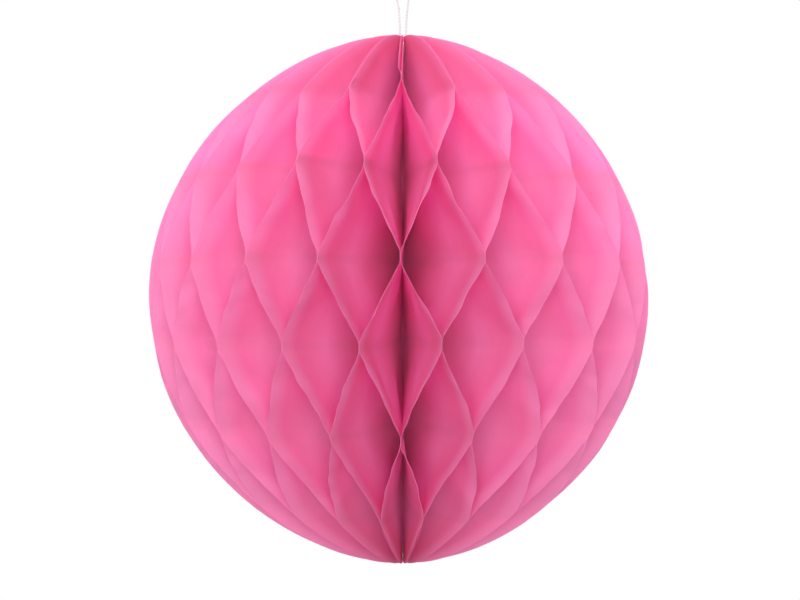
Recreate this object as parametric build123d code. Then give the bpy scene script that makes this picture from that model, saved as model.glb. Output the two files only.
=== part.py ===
"""A paper honeycomb ball: a fan of tissue sheets, bound along one straight edge and opened right round.

Each sheet is a half disc whose straight edge lies on the spine. It is glued to the next sheet along a
few lines, so the open fan is a round lantern of cells. Two thin card covers close the fan at the back,
where adhesive tabs hold them together, and a thread through the spine carries the ball by a loop.

Millimetres, +Z up. The origin is where the hanging loop bears on its hook, and the spine runs straight
down below it. The ball's front faces -Y. A sheet's angle is measured round the spine from the front
towards +X, so the fan starts at the back, comes round by -X, the front and +X, and ends at the back.

Each flat piece is a wedge of a fraction of a degree whose faces pass through the spine, so that the
closed fan nests without an overlap. A sheet's wedge has the volume of the thin sheet it stands for.
"""

from build123d import *
from math import acos, cos, pi, radians, sin, tan
import os

# --- the ball ---
equator_radius = 50.0  # of a sheet at the ball's middle
spine_half = 53.6  # from the ball's centre to a pole
shoulder_squeeze = 0.068  # how far the shoulders are drawn in towards the centre
spine_offset = 0.9  # how far the spine stands to +X of the middle of the outline
rim_sides = 32  # a rim is this many short straight edges
bore_radius = 1.0  # the bound edges stay this far from the spine, clear of the thread

# --- the sheets, angles in degrees ---
sheet_count = 42
sheet_wedge = 0.06
crowding = 7.6  # the fan is closer together on the -X side by this much
front_turn = -0.7  # of the middle sheet, from the front

# --- the covers and their tabs, angles in degrees ---
cover_wedge = 0.50
seam_wedge = 0.30  # from one cover to the other
tab_wedge = 0.20
tab_width = 10.0
tab_height = 14.0
tab_corner = 2.0
tab_middle_radius = 36.0
tab_levels = (-25.0, 0.0, 25.0)  # above the ball's centre

# --- the thread ---
thread_diameter = 0.45
spine_thread_diameter = 1.0  # both strands laid up together
knot_diameter = 1.8
knot_height = 1.8
knot_rounding = 0.15
knot_depth = 1.5  # from a pole to the near face of its knot
loop_reach = 42.0  # from the top pole to the hook

# The loop's route from the top knot and back to it: across, and up from the top pole.
loop_route = [
    (-0.60, -knot_depth),
    (-0.60, 1.1),
    (-0.70, 3.7),
    (-0.80, 5.9),
    (-1.35, 8.2),
    (-1.85, 12.0),
    (-2.75, 18.0),
    (-3.10, 25.5),
    (-3.45, 32.5),
    (-3.05, 38.6),
    (-1.55, 42.225),
    (1.45, 42.225),
    (2.95, 38.4),
    (3.25, 32.0),
    (2.85, 25.0),
    (2.45, 17.8),
    (1.70, 11.8),
    (1.20, 7.6),
    (0.80, 4.6),
    (0.60, 1.5),
    (0.60, -knot_depth),
]

pole_z = -loop_reach
centre_z = pole_z - spine_half
fan_angle = 360.0 - 2 * cover_wedge - seam_wedge


def glue_angle(k):
    """Where sheet k is glued to the next one, in degrees. 0 is the first cover's inner face."""
    even = fan_angle * (k / sheet_count - 0.5)
    return even + crowding * (1 - cos(radians(even))) + front_turn


def radius_at(angle):
    """A sheet's radius at the ball's middle: the spine isn't in the middle of the outline."""
    return equator_radius - spine_offset * sin(radians(angle))


def rim_point(radius, u):
    """A point of a sheet's rim: across from the spine, and up from the ball's centre."""
    return radius * cos(u), spine_half * sin(u) * (1 - shoulder_squeeze * cos(u))


def half_disc(radius):
    """A sheet's outline, as points across from the spine and up from the ball's centre."""
    last = acos(bore_radius / radius)
    return [rim_point(radius, last * (2 * i / rim_sides - 1)) for i in range(rim_sides + 1)]


def tab_outline(level):
    """A tab's outline, with its corners cut."""
    near, far = tab_middle_radius - tab_width / 2, tab_middle_radius + tab_width / 2
    low, high = level - tab_height / 2, level + tab_height / 2
    cut = tab_corner
    return [
        (near + cut, low),
        (far - cut, low),
        (far, low + cut),
        (far, high - cut),
        (far - cut, high),
        (near + cut, high),
        (near, high - cut),
        (near, low + cut),
    ]


def place(across, up, angle):
    """A point at a distance from the spine, a height over the ball's centre and an angle."""
    turn = radians(angle)
    return across * sin(turn), -across * cos(turn), centre_z + up


def wedge(outline, start, thickness):
    """A flat piece: its outline at the angle start, and again thickness degrees further round."""
    first, second = ([place(*point, angle) for point in outline] for angle in (start, start + thickness))
    edges = [
        [first[i - 1], first[i], second[i], second[i - 1]] for i in range(len(outline))
    ]
    return Solid(Shell([Face(Wire.make_polygon(ring)) for ring in (first, second, *edges)]))


def sheet(k):
    """Sheet k, counted from 1, on the side where it is glued to the next one."""
    angle = glue_angle(k)
    return wedge(half_disc(radius_at(angle)), angle - sheet_wedge, sheet_wedge)


def first_cover():
    angle = glue_angle(0)
    return wedge(half_disc(radius_at(angle)), angle - cover_wedge, cover_wedge)


def last_cover():
    angle = glue_angle(sheet_count)
    return wedge(half_disc(radius_at(angle)), angle, cover_wedge)


def adhesive_tabs():
    """Three double-sided tabs on the outer face of the first cover."""
    start = glue_angle(0) - cover_wedge - tab_wedge
    return Compound(children=[wedge(tab_outline(level), start, tab_wedge) for level in tab_levels])


def knot(near_face_z, side):
    """A knot in the bore: its near face towards the pole, on the side +1 of the top or -1."""
    body = Cylinder(knot_diameter / 2, knot_height)
    body = fillet(body.edges().filter_by(GeomType.CIRCLE), knot_rounding)
    return Pos(0, 0, near_face_z - side * knot_height / 2) * body


def spine_thread():
    """The thread along the spine, from one knot to the other."""
    length = 2 * (spine_half - knot_depth - knot_height)
    return Pos(0, 0, centre_z) * Cylinder(spine_thread_diameter / 2, length)


def cord_path(points):
    """Straight runs joined by arcs, each as large as its two runs allow."""
    corners = zip(points, points[1:], points[2:])
    radii = []
    for before, corner, after in corners:
        turn = radians((corner - before).get_angle(after - corner))
        run = min((corner - before).length, (after - corner).length)
        radii.append(0.45 * run / tan(turn / 2))
    print("loop radii", [round(r, 1) for r in radii], "least", round(min(radii), 2))
    return FilletPolyline(*points, radius=radii)


def hanging_loop():
    """The white thread that the ball hangs by, both ends on the top knot."""
    path = cord_path([Vector(across, 0, pole_z + up) for across, up in loop_route])
    start = Plane(origin=path @ 0, z_dir=path % 0)
    tube = sweep(start * Circle(thread_diameter / 2), path=path)
    expected = pi * (thread_diameter / 2) ** 2 * path.length
    print(f"loop length {path.length:.1f} mm, volume {tube.volume:.3f}, expected {expected:.3f}")
    return tube


def build():
    """Every node by name."""
    nodes = {f"sheet_{k:02d}": sheet(k) for k in range(1, sheet_count + 1)}
    nodes["first_cover"] = first_cover()
    nodes["last_cover"] = last_cover()
    nodes["adhesive_tabs"] = adhesive_tabs()
    nodes["top_knot"] = knot(pole_z - knot_depth, 1)
    nodes["bottom_knot"] = knot(pole_z - 2 * spine_half + knot_depth, -1)
    nodes["spine_thread"] = spine_thread()
    nodes["hanging_loop"] = hanging_loop()
    return nodes


parts_folder = "parts"
os.makedirs(parts_folder, exist_ok=True)
for name, shape in build().items():
    export_step(shape, f"{parts_folder}/{name}.step")
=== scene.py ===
"""A pink tissue honeycomb ball on a white thread, opened round its spine.

Every tissue sheet is a half disc that zigzags between two glue planes, which are half planes through the
spine. The planes, the sheets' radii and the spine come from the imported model. Metres, +Z up, the ball's
front facing -Y. An angle is measured round the spine from the front towards +X.
"""

import math
import random

import bpy
import numpy as np
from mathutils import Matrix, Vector


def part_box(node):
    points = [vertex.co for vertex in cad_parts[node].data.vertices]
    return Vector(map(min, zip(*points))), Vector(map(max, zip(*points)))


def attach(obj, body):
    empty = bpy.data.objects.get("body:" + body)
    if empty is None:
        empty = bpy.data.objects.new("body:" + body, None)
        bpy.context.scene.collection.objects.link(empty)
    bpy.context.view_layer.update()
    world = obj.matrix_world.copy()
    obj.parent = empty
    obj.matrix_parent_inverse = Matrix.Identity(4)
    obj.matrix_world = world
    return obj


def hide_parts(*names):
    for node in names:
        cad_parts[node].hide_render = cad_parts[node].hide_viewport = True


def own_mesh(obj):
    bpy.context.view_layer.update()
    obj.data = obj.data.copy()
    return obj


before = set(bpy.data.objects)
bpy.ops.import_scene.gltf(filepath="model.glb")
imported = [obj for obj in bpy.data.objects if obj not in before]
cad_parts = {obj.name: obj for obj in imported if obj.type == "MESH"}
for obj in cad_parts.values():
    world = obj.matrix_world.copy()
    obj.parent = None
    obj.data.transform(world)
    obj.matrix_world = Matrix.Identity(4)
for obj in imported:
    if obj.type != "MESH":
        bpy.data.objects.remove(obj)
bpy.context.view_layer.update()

MM = 0.001
rng = random.Random(42)

# --- the ball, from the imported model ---
SHEETS = sorted(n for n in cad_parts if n.startswith("sheet_"))
MIDDLE_PLANE = len(SHEETS) // 2
POLE_LOW = min(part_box(n)[0][2] for n in SHEETS)
POLE_HIGH = max(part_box(n)[1][2] for n in SHEETS)
CENTRE_Z = (POLE_LOW + POLE_HIGH) / 2
SPINE_HALF = (POLE_HIGH - POLE_LOW) / 2
SHOULDER_SQUEEZE = 0.068

# --- the tissue, as it lies flat ---
GLUE_PITCH = 16.25 * MM  # from a sheet's glue line on one side to the next, on the other side
GLUE_ROWS = (-2.5, -1.5, -0.5, 0.5, 1.5, 2.5)  # in pitches over the middle of the spine
GLUE_LOW = 0.6 * MM  # the rows sit this far under the ball's centre
GLUE_HEIGHT = 1.0 * MM  # of one line of glue along the spine
EQUATOR_SHRINK = 0.69 * MM  # how far the widest cells draw the rows on the rim together
EQUATOR_BAND = 8.0 * MM  # the height over which that drawing-in starts
PAPER = 0.03 * MM
BORE = 0.52 * MM  # from the spine to a sheet's bound edge
KNOT_ROOM = 0.97 * MM  # the same, beside a knot
KNOT_CLEARANCE = 0.3 * MM  # past a knot's ends
SWAY = 0.7 * MM  # how far a wall waves from its straight fold
RIM_SWAY = 0.4 * MM  # and how far more, in shorter waves, at the rim
BEND = 0.06  # the share of a span that bends at each end, between a glue line and the straight middle

# How many degrees the front cells crowd towards the front at the poles and at each row; they fan out
# again towards CROWD_REACH.
POLE_CROWD = (13.0, 4.0)
CROWD = {-2.5: 3.7, -1.5: 1.5, -0.5: 1.4, 0.5: 1.0, 1.5: 1.2, 2.5: 1.2}
CROWD_REACH = 60.0

# Glue spots that sit off their line, as (plane, row): millimetres higher.
OFF_SPOTS = {
    (17, 2.5): -1.1,
    (19, 2.5): -0.8,
    (21, 2.5): 0.7,
    (23, 2.5): -1.1,
    (25, 2.5): -0.7,
    (18, 1.5): 1.1,
    (22, 1.5): 0.5,
    (26, 1.5): -1.2,
    (22, -0.5): 0.6,
    (24, -0.5): 0.6,
    (23, -1.5): 0.8,
    (22, -2.5): 0.6,
}

# Leaves beyond the last glue line stay by that plane. Each is (share of its gap that it opens, share that
# its rim curls back into its own cell); the others open and curl a little, at random.
LEAVES = {(21, "top"): (0.02, 0.15), (22, "top"): (0.09, 0.0)}
LEAF_OPEN = (0.03, 0.08)
LEAF_CURL = (-0.02, 0.08)
CURL_START = 0.1  # the share of a leaf's length over which its curl comes in

# The mesh of a sheet: its rows on a leaf and on a span between two glue lines, and its columns, as shares
# of the way from the spine to the rim. Near a pole it stops at POLE_REACH of the spine's half.
LEAF_ROWS = 24
SPAN_ROWS = 21
COLUMNS = np.concatenate([np.linspace(0, 0.9, 15), [0.94, 0.97, 0.99, 1.0]])
POLE_REACH = 0.9985

# The dyed tissue's colour at distances from the rim, in steps of 50 mm, with painted light and shade in it.
# The open rims are painted a little paler as a lit band, and just inside them is a slightly darker band of
# painted shade. Deep in the cells the colour is painted paler again, because less of the lamps' light gets
# there than in a real ball.
TISSUE_RAMP_STEP = 50.0 * MM
TISSUE_DYE_AND_PAINTED_LIGHT = [
    (0.07, (0.98, 0.43, 0.72)),
    (0.13, (0.97, 0.35, 0.67)),
    (0.19, (0.975, 0.39, 0.71)),
    (0.34, (0.99, 0.545, 0.85)),
    (0.60, (1.0, 0.54, 0.83)),
    (0.90, (1.0, 0.50, 0.79)),
]
SEEN_THROUGH = 0.50  # the share of the light that a sheet passes on

# --- the covers ---
CARD_THICKNESS = 0.35 * MM
COVER_WEDGE = math.radians(0.5)

# --- the threads ---
THREAD = 0.45 * MM
THREAD_LAY = 1.3 * MM  # one turn of its plies
PLY_RADIUS = {2: 0.29, 3: 0.265}  # by the number of plies: a share of the thread's diameter
PLY_SIDES = 8
SPINE_THREAD = 0.95 * MM
SPINE_THREAD_LAY = 3.2 * MM
TOP_POLE = -42.0
LOOP_ROUTE = [  # across, and up from the top pole, in millimetres
    (-0.60, -1.5),
    (-0.60, 1.1),
    (-0.70, 3.7),
    (-0.80, 5.9),
    (-1.35, 8.2),
    (-1.85, 12.0),
    (-2.75, 18.0),
    (-3.10, 25.5),
    (-3.45, 32.5),
    (-3.05, 38.6),
    (-1.55, 42.225),
    (1.45, 42.225),
    (2.95, 38.4),
    (3.25, 32.0),
    (2.85, 25.0),
    (2.45, 17.8),
    (1.70, 11.8),
    (1.20, 7.6),
    (0.80, 4.6),
    (0.60, 1.5),
    (0.60, -1.5),
]

# --- the studio ---
ROOM_LIGHT = 0.28  # how bright the white surroundings are for the ball; the camera sees them fully white


def plane_of(name):
    """The angle of a flat CAD piece's last face, furthest round the spine, and the piece's radius."""
    points = np.array([v.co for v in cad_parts[name].data.vertices])
    reach = np.hypot(points[:, 0], points[:, 1])
    outer = points[reach > reach.max() - 0.01 * MM]
    angles = np.arctan2(outer[:, 0], -outer[:, 1])
    return float(angles.max()), float(reach.max())


def glue_planes():
    """The angles of all the glue planes, in order round the ball, and each sheet's radius."""
    angles = [plane_of("first_cover")[0]]
    radii = []
    for name in SHEETS:
        angle, radius = plane_of(name)
        while angle < angles[-1]:
            angle += math.tau
        angles.append(angle)
        radii.append(radius)
    return angles, radii


PLANES, RADII = glue_planes()
LAST = len(SHEETS)


def glued(plane, row):
    """True if the sheets on both sides of a plane are glued together there at that row."""
    return (plane - MIDDLE_PLANE - round(row - 0.5)) % 2 == 0


def glue_line(plane, row):
    """One glue line's middle along the spine and its height; hand-laid glue is never quite even."""
    uneven = OFF_SPOTS.get((plane, row), 0.1 * rng.gauss(0, 1)) * MM
    return row * GLUE_PITCH - GLUE_LOW + uneven, GLUE_HEIGHT * rng.uniform(0.8, 1.2)


LINES = {(plane, row): glue_line(plane, row) for plane in range(LAST + 1) for row in GLUE_ROWS}


def plane_angle(plane, s):
    """A glue plane's angle at heights along the spine: the front planes crowd, row by row."""
    turn = math.degrees(PLANES[plane])
    if plane in (0, LAST) or abs(turn) > CROWD_REACH:
        return np.full_like(s, PLANES[plane])
    inward = -math.copysign(math.sin(math.pi * abs(turn) / CROWD_REACH), turn)
    rows = [-SPINE_HALF, *(LINES[plane, row][0] for row in GLUE_ROWS), SPINE_HALF]
    crowd = [POLE_CROWD[0], *(CROWD[row] for row in GLUE_ROWS), POLE_CROWD[1]]
    return PLANES[plane] + inward * np.radians(np.interp(s, rows, crowd))


def soft_step(t):
    """From 0 to 1 with a straight middle and a bend of BEND at each end."""
    t = np.clip(t, 0, 1)
    top = 1 - BEND
    end = top - (1 - t) ** 2 / (2 * BEND)
    return np.where(t < BEND, t**2 / (2 * BEND), np.where(t > top, end, t - BEND / 2)) / top


def folds(k, reach):
    """Sheet k's rows: heights along the spine, the share of its gap crossed, and the rim's curl there."""
    stops = []
    for row in GLUE_ROWS:
        side = 1 if glued(k, row) else 0
        middle, height = LINES[k - 1 + side, row]
        stops.append((middle - height / 2, middle + height / 2, side))
    rows = []
    for end, (start, side) in (("low", (stops[0][0], stops[0][2])), ("top", (stops[-1][1], stops[-1][2]))):
        random_leaf = (rng.uniform(*LEAF_OPEN), rng.uniform(*LEAF_CURL))
        open_share, curl = LEAVES.get((k, end), random_leaf)
        pole = -reach if end == "low" else reach
        away = 1 - 2 * side
        for t in np.sin(np.linspace(0.5 * math.pi, 0, LEAF_ROWS + 1))[:-1]:
            part = min(t / CURL_START, 1) ** 0.5
            rows.append((start + (pole - start) * t, side + away * open_share * t, away * curl * part))
    for i, (start, end, side) in enumerate(stops):
        rows += [(start, side, 0), ((start + end) / 2, side, 0), (end, side, 0)]
        if i + 1 < len(stops):
            t = np.linspace(0, 1, SPAN_ROWS + 2)[1:-1]
            span = stops[i + 1][0] - end
            shares = side + (stops[i + 1][2] - side) * soft_step(t)
            rows += [(end + span * a, b, 0) for a, b in zip(t, shares)]
    return np.array(sorted(rows)).T


def rim(flat_height, radius):
    """Where the rim of the open ball is, for a height along the flat spine: radius and height."""
    u = np.linspace(-math.pi / 2, math.pi / 2, 1441)
    up = SPINE_HALF * np.sin(u) * (1 - SHOULDER_SQUEEZE * np.cos(u))
    size = np.abs(flat_height)
    fade = np.clip((SPINE_HALF - size) / (0.3 * SPINE_HALF), 0, 1)
    drawn = EQUATOR_SHRINK * np.clip(size / EQUATOR_BAND, 0, 1) * fade
    height = flat_height - np.sign(flat_height) * drawn
    return radius * np.cos(np.interp(height, up, u)), height


def bore(s):
    """How near the spine thread a sheet's inner edge comes: it leaves room for the knots."""
    room = np.full(s.shape, BORE)
    for node in ("top_knot", "bottom_knot"):
        low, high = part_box(node)
        beyond = np.maximum(low[2] - CENTRE_Z - s, s - high[2] + CENTRE_Z)
        room = np.maximum(room, KNOT_ROOM - np.clip(beyond - KNOT_CLEARANCE, 0, 1))
    return room


def waves(seed, s, r, shortest, count=5):
    """Small seeded waves over a sheet, between -1 and 1. The shortest is that long."""
    wave = random.Random(seed)
    total = np.zeros(np.broadcast(s, r).shape)
    for _ in range(count):
        long, wide = shortest * wave.uniform(1, 3), shortest * wave.uniform(1.4, 4)
        phase = wave.uniform(0, math.tau), wave.uniform(0, math.tau)
        total += np.sin(math.tau * s / long + phase[0]) * np.sin(math.tau * r / wide + phase[1])
    return total / count


def grid_solid(r, angle_low, angle_high, z):
    """A closed thin solid from a grid of radii and heights between two angles; its second face follows."""
    points = []
    for angle in (angle_low, angle_high):
        points.append(np.stack([r * np.sin(angle), -r * np.cos(angle), z], -1).reshape(-1, 3))
    rows, cols = r.shape
    index = np.arange(rows * cols).reshape(rows, cols)
    other = index + rows * cols
    one = np.stack([index[:-1, :-1], index[:-1, 1:], index[1:, 1:], index[1:, :-1]], -1).reshape(-1, 4)
    two = np.stack([other[:-1, :-1], other[1:, :-1], other[1:, 1:], other[:-1, 1:]], -1).reshape(-1, 4)
    loop = np.concatenate([index[0, :], index[1:, -1], index[-1, -2::-1], index[-2:0:-1, 0]])
    far = loop + rows * cols
    edge = np.stack([np.roll(loop, -1), loop, far, np.roll(far, -1)], -1)
    smooth = np.concatenate([np.ones(len(one) + len(two), bool), np.zeros(len(edge), bool)])
    return np.concatenate(points), np.concatenate([one, two, edge]), smooth


def mesh_object(name, points, faces, smooth=None, material=None):
    mesh = bpy.data.meshes.new(name)
    mesh.from_pydata([tuple(p) for p in points], [], [tuple(f) for f in faces])
    mesh.polygons.foreach_set("use_smooth", np.ones(len(faces), bool) if smooth is None else smooth)
    mesh.update()
    mesh.set_sharp_from_angle(angle=math.radians(50))
    obj = bpy.data.objects.new(name, mesh)
    bpy.context.scene.collection.objects.link(obj)
    if material:
        mesh.materials.append(material)
    return obj


def tissue_sheet(k, material):
    """Sheet k's mesh. Each point keeps its place on the flat sheet, its distance from the rim, and whether
    it lies on a line of glue.
    """
    s, share, curl = folds(k, SPINE_HALF * POLE_REACH)
    rim_radius, rim_height = rim(s, RADII[k - 1])
    uneven = 0.10 * waves(2000 + k, s, 5 * MM, 7 * MM) + 0.05 * waves(3000 + k, s, 2 * MM, 1.3 * MM)
    inner = bore(s)
    rim_radius = np.maximum(rim_radius + uneven * MM, inner + 0.02 * MM)
    s, share, curl, inner = s[:, None], share[:, None], curl[:, None], inner[:, None]
    r = inner + (rim_radius[:, None] - inner) * COLUMNS[None, :]
    outward = r / rim_radius[:, None]
    z = s + (rim_height[:, None] - s) * outward**2
    before, after = plane_angle(k - 1, s), plane_angle(k, s)
    gap = after - before
    half = np.minimum(PAPER / r, 0.5 * gap) / 2
    free = np.clip(4 * share * (1 - share), 0, 1)  # 0 on the glue, 1 halfway across the gap
    sway = SWAY * waves(1000 + k, s, r, 10 * MM) + RIM_SWAY * outward**4 * waves(4000 + k, s, r, 3.5 * MM)
    fold = before + half + (gap - 2 * half) * (share + curl * outward**3)
    middle = fold + sway * free / np.maximum(r, 4 * MM)
    middle = np.clip(middle, before + half, after - half)
    points, faces, smooth = grid_solid(r, middle - half, middle + half, z + CENTRE_Z)
    obj = mesh_object(f"tissue_{k:02d}", points, faces, smooth, material)
    line = np.isin(share, (0.0, 1.0)) & (np.abs(s) < GLUE_PITCH * 2.6)
    flat = np.stack([s + 0 * r, r, 0 * r + k], -1).reshape(-1, 3)
    # The third part of "details" isn't used.
    details = np.stack([rim_radius[:, None] - r, 0 * r + line, 0 * r], -1).reshape(-1, 3)
    for title, values in (("flat", flat), ("details", details)):
        both = np.concatenate([values, values])
        obj.data.attributes.new(title, "FLOAT_VECTOR", "POINT").data.foreach_set("vector", both.ravel())
    return obj


def card_half_disc(name, angle_low, angle_high, radius, material):
    """A cover: a flat half disc of card with a softly rounded cut edge."""
    u = np.linspace(-0.5, 0.5, 97) * math.pi * 0.998
    height = SPINE_HALF * np.sin(u) * (1 - SHOULDER_SQUEEZE * np.cos(u))
    inner = bore(height)[:, None]
    rim_radius = np.maximum(radius * np.cos(u), inner[:, 0] + 0.05 * MM)
    inset = np.array([0, 0.02, 0.06, 0.12, 0.2, 0.35]) * MM
    across = np.concatenate([np.linspace(0, 0.985, 12), 1 - inset[::-1] / radius])
    r = inner + (rim_radius[:, None] - inner) * across[None, :]
    z = height[:, None] + 0 * r
    thick = np.minimum(CARD_THICKNESS / r, angle_high - angle_low)
    edge = np.clip((rim_radius[:, None] - r) / (0.2 * MM), 0, 1)
    half = thick / 2 * np.sqrt(np.clip(1 - (1 - edge) ** 2, 0.02, 1))
    middle = (angle_low + angle_high) / 2
    points, faces, smooth = grid_solid(r, middle - half, middle + half, z + CENTRE_Z)
    return mesh_object(name, points, faces, smooth, material)


def even_line(points, step):
    """Points at even steps along a broken line."""
    points = np.array(points, float)
    length = np.concatenate([[0], np.cumsum(np.linalg.norm(np.diff(points, axis=0), axis=1))])
    at = np.linspace(0, length[-1], max(int(length[-1] / step), 2) + 1)
    return np.stack([np.interp(at, length, points[:, i]) for i in range(3)], -1)


def spline_line(route):
    """Points along the smooth NURBS spline whose control points are a route's points."""
    curve = bpy.data.curves.new("route", "CURVE")
    curve.dimensions = "3D"
    spline = curve.splines.new("NURBS")
    spline.points.add(len(route) - 1)
    for point, place in zip(spline.points, route):
        point.co = (*place, 1)
    spline.order_u = 3
    spline.use_endpoint_u = True
    spline.resolution_u = 24
    holder = bpy.data.objects.new("route", curve)
    mesh = bpy.data.meshes.new_from_object(holder)
    line = [tuple(vertex.co) for vertex in mesh.vertices]
    bpy.data.objects.remove(holder)
    bpy.data.curves.remove(curve)
    bpy.data.meshes.remove(mesh)
    return line


def twisted_thread(name, line, diameter, plies, lay_length, material):
    """A thread of twisted plies along a line of close points."""
    line = np.array(line)
    ahead = np.gradient(line, axis=0)
    ahead /= np.linalg.norm(ahead, axis=1)[:, None]
    side = np.cross(ahead[0], (0.31, 0.95, 0.1))
    sides = []
    for way in ahead:
        side = side - way * side.dot(way)
        side /= np.linalg.norm(side)
        sides.append(side)
    sides = np.array(sides)
    ups = np.cross(ahead, sides)
    run = np.concatenate([[0], np.cumsum(np.linalg.norm(np.diff(line, axis=0), axis=1))])
    ply_radius = diameter * PLY_RADIUS[plies]
    offset = diameter / 2 - ply_radius
    around = np.arange(PLY_SIDES) / PLY_SIDES * math.tau
    points, faces = [], []
    for ply in range(plies):
        turn = math.tau * (run / lay_length + ply / plies)
        middle = line + offset * (np.cos(turn)[:, None] * sides + np.sin(turn)[:, None] * ups)
        ring = [middle + ply_radius * (math.cos(a) * sides + math.sin(a) * ups) for a in around]
        first = len(points)
        points += list(np.stack(ring, 1).reshape(-1, 3))
        last = first + PLY_SIDES * (len(line) - 1)
        for near in range(first, last, PLY_SIDES):
            far = near + PLY_SIDES
            for a in range(PLY_SIDES):
                b = (a + 1) % PLY_SIDES
                faces.append([near + a, near + b, far + b, far + a])
        faces.append([first + a for a in reversed(range(PLY_SIDES))])
        faces.append([last + a for a in range(PLY_SIDES)])
    return mesh_object(name, points, faces, material=material)


# --- materials ---
def new_material(name):
    material = bpy.data.materials.new(name)
    material.use_nodes = True
    tree = material.node_tree
    tree.nodes.clear()
    return material, tree


def add(tree, kind, **inputs):
    """A node with some of its sockets set, or linked where the value is another node's socket."""
    node = tree.nodes.new(kind)
    for name, value in inputs.items():
        socket = node.inputs[name.replace("_", " ")]
        if isinstance(value, bpy.types.NodeSocket):
            tree.links.new(value, socket)
        else:
            socket.default_value = value
    return node


def ramp(tree, factor, stops):
    node = add(tree, "ShaderNodeValToRGB", Fac=factor)
    elements = node.color_ramp.elements
    while len(elements) < len(stops):
        elements.new(0.5)
    for element, (position, colour) in zip(elements, stops):
        element.position = position
        element.color = (*colour, 1)
    return node.outputs["Color"]


def math_node(tree, operation, *values):
    node = tree.nodes.new("ShaderNodeMath")
    node.operation = operation
    for socket, value in zip(node.inputs, values):
        if isinstance(value, bpy.types.NodeSocket):
            tree.links.new(value, socket)
        else:
            socket.default_value = value
    return node.outputs[0]


def attribute(tree, name):
    node = tree.nodes.new("ShaderNodeAttribute")
    node.attribute_name = name
    return node.outputs["Vector"]


def set_surface(tree, shader):
    out = tree.nodes.new("ShaderNodeOutputMaterial")
    tree.links.new(shader.outputs[0], out.inputs["Surface"])


def tissue_material():
    """Thin dyed tissue that passes light on, with clouds and fibres in its colour, faint lines of glue, and
    painted light and shade: paler rims, a darker band inside them and paler depths.
    """
    material, tree = new_material("tissue")
    place = attribute(tree, "flat")
    details = add(tree, "ShaderNodeSeparateXYZ", Vector=attribute(tree, "details"))
    from_rim, glue = details.outputs[0], details.outputs[1]
    cloud = add(tree, "ShaderNodeTexNoise", Vector=place, Scale=330.0, Detail=4.0, Roughness=0.6)
    fibre = add(tree, "ShaderNodeTexNoise", Vector=place, Scale=2400.0, Detail=5.0, Roughness=0.7)
    mottle = math_node(tree, "MULTIPLY_ADD", cloud.outputs["Fac"], 0.5, fibre.outputs["Fac"])
    # The ramp over the distance from the rim paints light and shade into the colour: paler open rims, a
    # darker band of painted shade inside them, and paler depths deep in the cells.
    inward = math_node(tree, "MULTIPLY", from_rim, 1 / TISSUE_RAMP_STEP)
    dye_and_painted_light = ramp(tree, math_node(tree, "MULTIPLY_ADD", mottle, 0.04, inward), TISSUE_DYE_AND_PAINTED_LIGHT)
    stain = math_node(tree, "MULTIPLY_ADD", glue, -0.015, 0.900)
    tint = math_node(tree, "MULTIPLY_ADD", mottle, 0.12, stain)
    tinted = tree.nodes.new("ShaderNodeVectorMath")
    tinted.operation = "SCALE"
    tree.links.new(dye_and_painted_light, tinted.inputs[0])
    tree.links.new(tint, tinted.inputs["Scale"])
    dye_and_painted_light = tinted.outputs[0]
    bump = add(tree, "ShaderNodeBump", Height=mottle, Strength=0.25, Distance=0.00004)
    front = add(tree, "ShaderNodeBsdfPrincipled", Base_Color=dye_and_painted_light, Roughness=0.7, Normal=bump.outputs[0])
    front.inputs["Specular IOR Level"].default_value = 0.12
    front.inputs["Sheen Weight"].default_value = 0.03
    front.inputs["Sheen Roughness"].default_value = 0.4
    through = add(tree, "ShaderNodeBsdfTranslucent", Color=dye_and_painted_light)
    mix = add(tree, "ShaderNodeMixShader", Fac=SEEN_THROUGH)
    tree.links.new(front.outputs[0], mix.inputs[1])
    tree.links.new(through.outputs[0], mix.inputs[2])
    set_surface(tree, mix)
    return material


def matt_material(name, dark, light, scale, roughness, bump_depth):
    """A matt material whose colour varies between two shades over a fine noise."""
    material, tree = new_material(name)
    place = tree.nodes.new("ShaderNodeTexCoord").outputs["Object"]
    noise = add(tree, "ShaderNodeTexNoise", Vector=place, Scale=scale, Detail=6.0, Roughness=0.65)
    colour = ramp(tree, noise.outputs["Fac"], [(0.3, dark), (0.7, light)])
    bump = add(tree, "ShaderNodeBump", Height=noise.outputs["Fac"], Strength=0.3, Distance=bump_depth)
    set_surface(
        tree,
        add(tree, "ShaderNodeBsdfPrincipled", Base_Color=colour, Roughness=roughness, Normal=bump.outputs[0]),
    )
    return material


TISSUE = tissue_material()
CARD = matt_material("cover_card", (0.80, 0.11, 0.33), (0.90, 0.16, 0.40), 900.0, 0.8, 0.00004)
COTTON = matt_material("cotton_thread", (0.56, 0.56, 0.56), (0.76, 0.76, 0.76), 6000.0, 0.9, 0.00003)
SPINE_COTTON = matt_material(
    "pink_spine_thread", (0.85, 0.20, 0.48), (0.93, 0.28, 0.55), 3000.0, 0.9, 0.00003
)
ADHESIVE = matt_material("adhesive", (0.78, 0.76, 0.70), (0.86, 0.84, 0.79), 1500.0, 0.35, 0.00002)

# --- the camera, level with the ball's middle ---
camera_data = bpy.data.cameras.new("camera")
camera_data.lens = 55.1
camera_data.clip_start = 0.01
camera = bpy.data.objects.new("camera", camera_data)
camera.location = (-0.6 * MM, -0.25, CENTRE_Z - 0.2 * MM)
camera.rotation_euler = (math.pi / 2, 0, 0)
bpy.context.scene.collection.objects.link(camera)
bpy.context.scene.camera = camera


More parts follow.
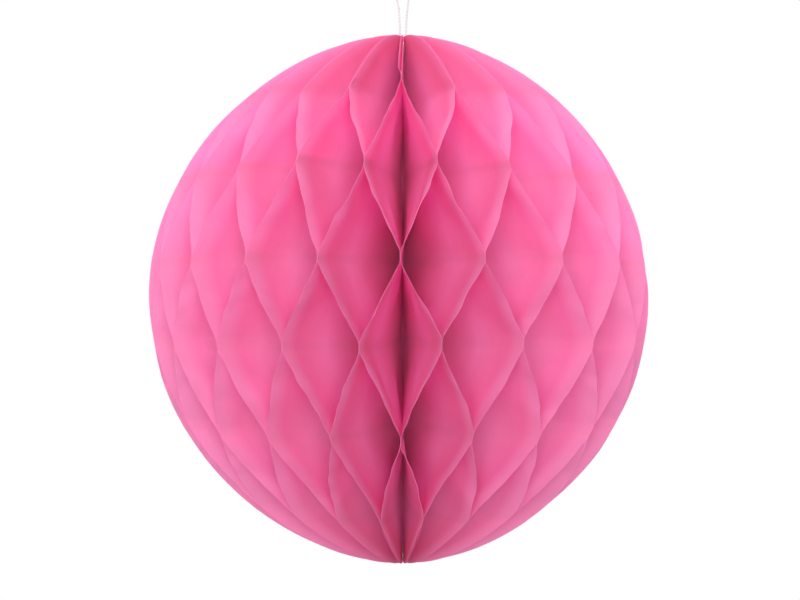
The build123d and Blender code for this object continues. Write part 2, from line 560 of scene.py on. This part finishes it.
# --- the pieces, each on the body that it moves with ---
def hanging_loop():
    route = [(across * MM, 0, (TOP_POLE + up) * MM) for across, up in LOOP_ROUTE]
    line = even_line(spline_line(route), 0.15 * MM)
    loop = twisted_thread("white_thread_loop", line, THREAD, 2, THREAD_LAY, COTTON)
    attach(loop, "core")
    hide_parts("hanging_loop")


def spine_thread():
    low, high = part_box("spine_thread")
    line = even_line([(0, 0, low[2]), (0, 0, high[2])], 0.3 * MM)
    thread = twisted_thread("spine_cotton", line, SPINE_THREAD, 3, SPINE_THREAD_LAY, SPINE_COTTON)
    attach(thread, "core")
    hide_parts("spine_thread")


def knot(node):
    """A tied knot of the loop's thread, inside the barrel that the model keeps for it."""
    low, high = (np.array(corner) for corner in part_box(node))
    middle, half = (low + high) / 2, (high - low) / 2
    wide, tall = (half[0] - THREAD / 2) / 3, (half[2] - THREAD / 2) * 0.95
    t = np.linspace(0, math.tau, 181)
    line = np.stack(
        [
            wide * (np.sin(t) + 2 * np.sin(2 * t)),
            wide * (np.cos(t) - 2 * np.cos(2 * t)),
            -tall * np.sin(3 * t),
        ],
        -1,
    )
    tied = twisted_thread(f"{node}_tied", line + middle, THREAD, 2, THREAD_LAY, COTTON)
    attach(tied, "core")
    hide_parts(node)


def covers():
    for node, body in (("first_cover", "core"), ("last_cover", "last_cover")):
        radius = plane_of(node)[1]
        if node == "first_cover":
            high = PLANES[0]
            low = high - COVER_WEDGE
        else:
            low = PLANES[-1]
            high = low + COVER_WEDGE
        cover = card_half_disc(f"{node}_card", low, high, radius, CARD)
        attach(cover, body)
        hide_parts(node)


def adhesive_tabs():
    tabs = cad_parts["adhesive_tabs"]
    tabs.data.materials.clear()
    tabs.data.materials.append(ADHESIVE)


def tissue_sheets():
    for k, name in enumerate(SHEETS, 1):
        piece = tissue_sheet(k, TISSUE)
        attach(piece, "last_cover" if k == LAST else name)
        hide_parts(name)
        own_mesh(piece)


def white_when_seen(tree):
    """The strength of the white surroundings: full in the picture, and only ROOM_LIGHT on the ball."""
    seen = tree.nodes.new("ShaderNodeLightPath").outputs["Is Camera Ray"]
    return math_node(tree, "MULTIPLY_ADD", seen, 1.0 - ROOM_LIGHT, ROOM_LIGHT)


def stage():
    """A seamless white sweep behind the ball and far under it."""
    material, tree = new_material("white_sweep")
    emission = add(tree, "ShaderNodeEmission", Color=(1, 1, 1, 1), Strength=white_when_seen(tree))
    set_surface(tree, emission)
    floor_z, wall_y, bend = CENTRE_Z - 0.45, 1.1, 0.5
    profile = [(-2.5, floor_z)]
    for i in range(17):
        a = math.pi / 2 * i / 16
        profile.append((wall_y - bend + bend * math.sin(a), floor_z + bend - bend * math.cos(a)))
    profile.append((wall_y, 2.2))
    points = [(x, y, z) for x in (-2.5, 2.5) for y, z in profile]
    n = len(profile)
    faces = [(i, i + 1, n + i + 1, n + i) for i in range(n - 1)]
    mesh_object("sweep", points, faces, material=material)


def lamp(name, place, size, power):
    """A soft square lamp that points at the ball."""
    data = bpy.data.lights.new(name, "AREA")
    data.size = size
    data.energy = power
    obj = bpy.data.objects.new(name, data)
    obj.location = place
    obj.rotation_euler = (Vector((0, 0, CENTRE_Z)) - Vector(place)).to_track_quat("-Z", "Y").to_euler()
    bpy.context.scene.collection.objects.link(obj)


def lights():
    world = bpy.data.worlds.new("studio")
    world.use_nodes = True
    background = world.node_tree.nodes["Background"]
    background.inputs["Color"].default_value = (1, 1, 1, 1)
    world.node_tree.links.new(white_when_seen(world.node_tree), background.inputs["Strength"])
    bpy.context.scene.world = world
    lamp("key", (-0.15, -0.9, CENTRE_Z + 0.35), 0.8, 3.9)
    lamp("top", (0.0, 0.4, CENTRE_Z + 0.85), 0.8, 14.0)
    lamp("front", (0.0, -0.9, CENTRE_Z + 0.02), 0.5, 6.3)
    lamp("left", (-0.85, -0.40, CENTRE_Z), 0.7, 1.1)
    lamp("right", (0.85, -0.40, CENTRE_Z), 0.7, 1.1)


tissue_sheets()
covers()
adhesive_tabs()
spine_thread()
knot("top_knot")
knot("bottom_knot")
hanging_loop()
stage()
lights()
scene = bpy.context.scene
scene.view_settings.view_transform = "Standard"
scene.cycles.max_bounces = 24
scene.cycles.diffuse_bounces = 12
scene.cycles.transmission_bounces = 24
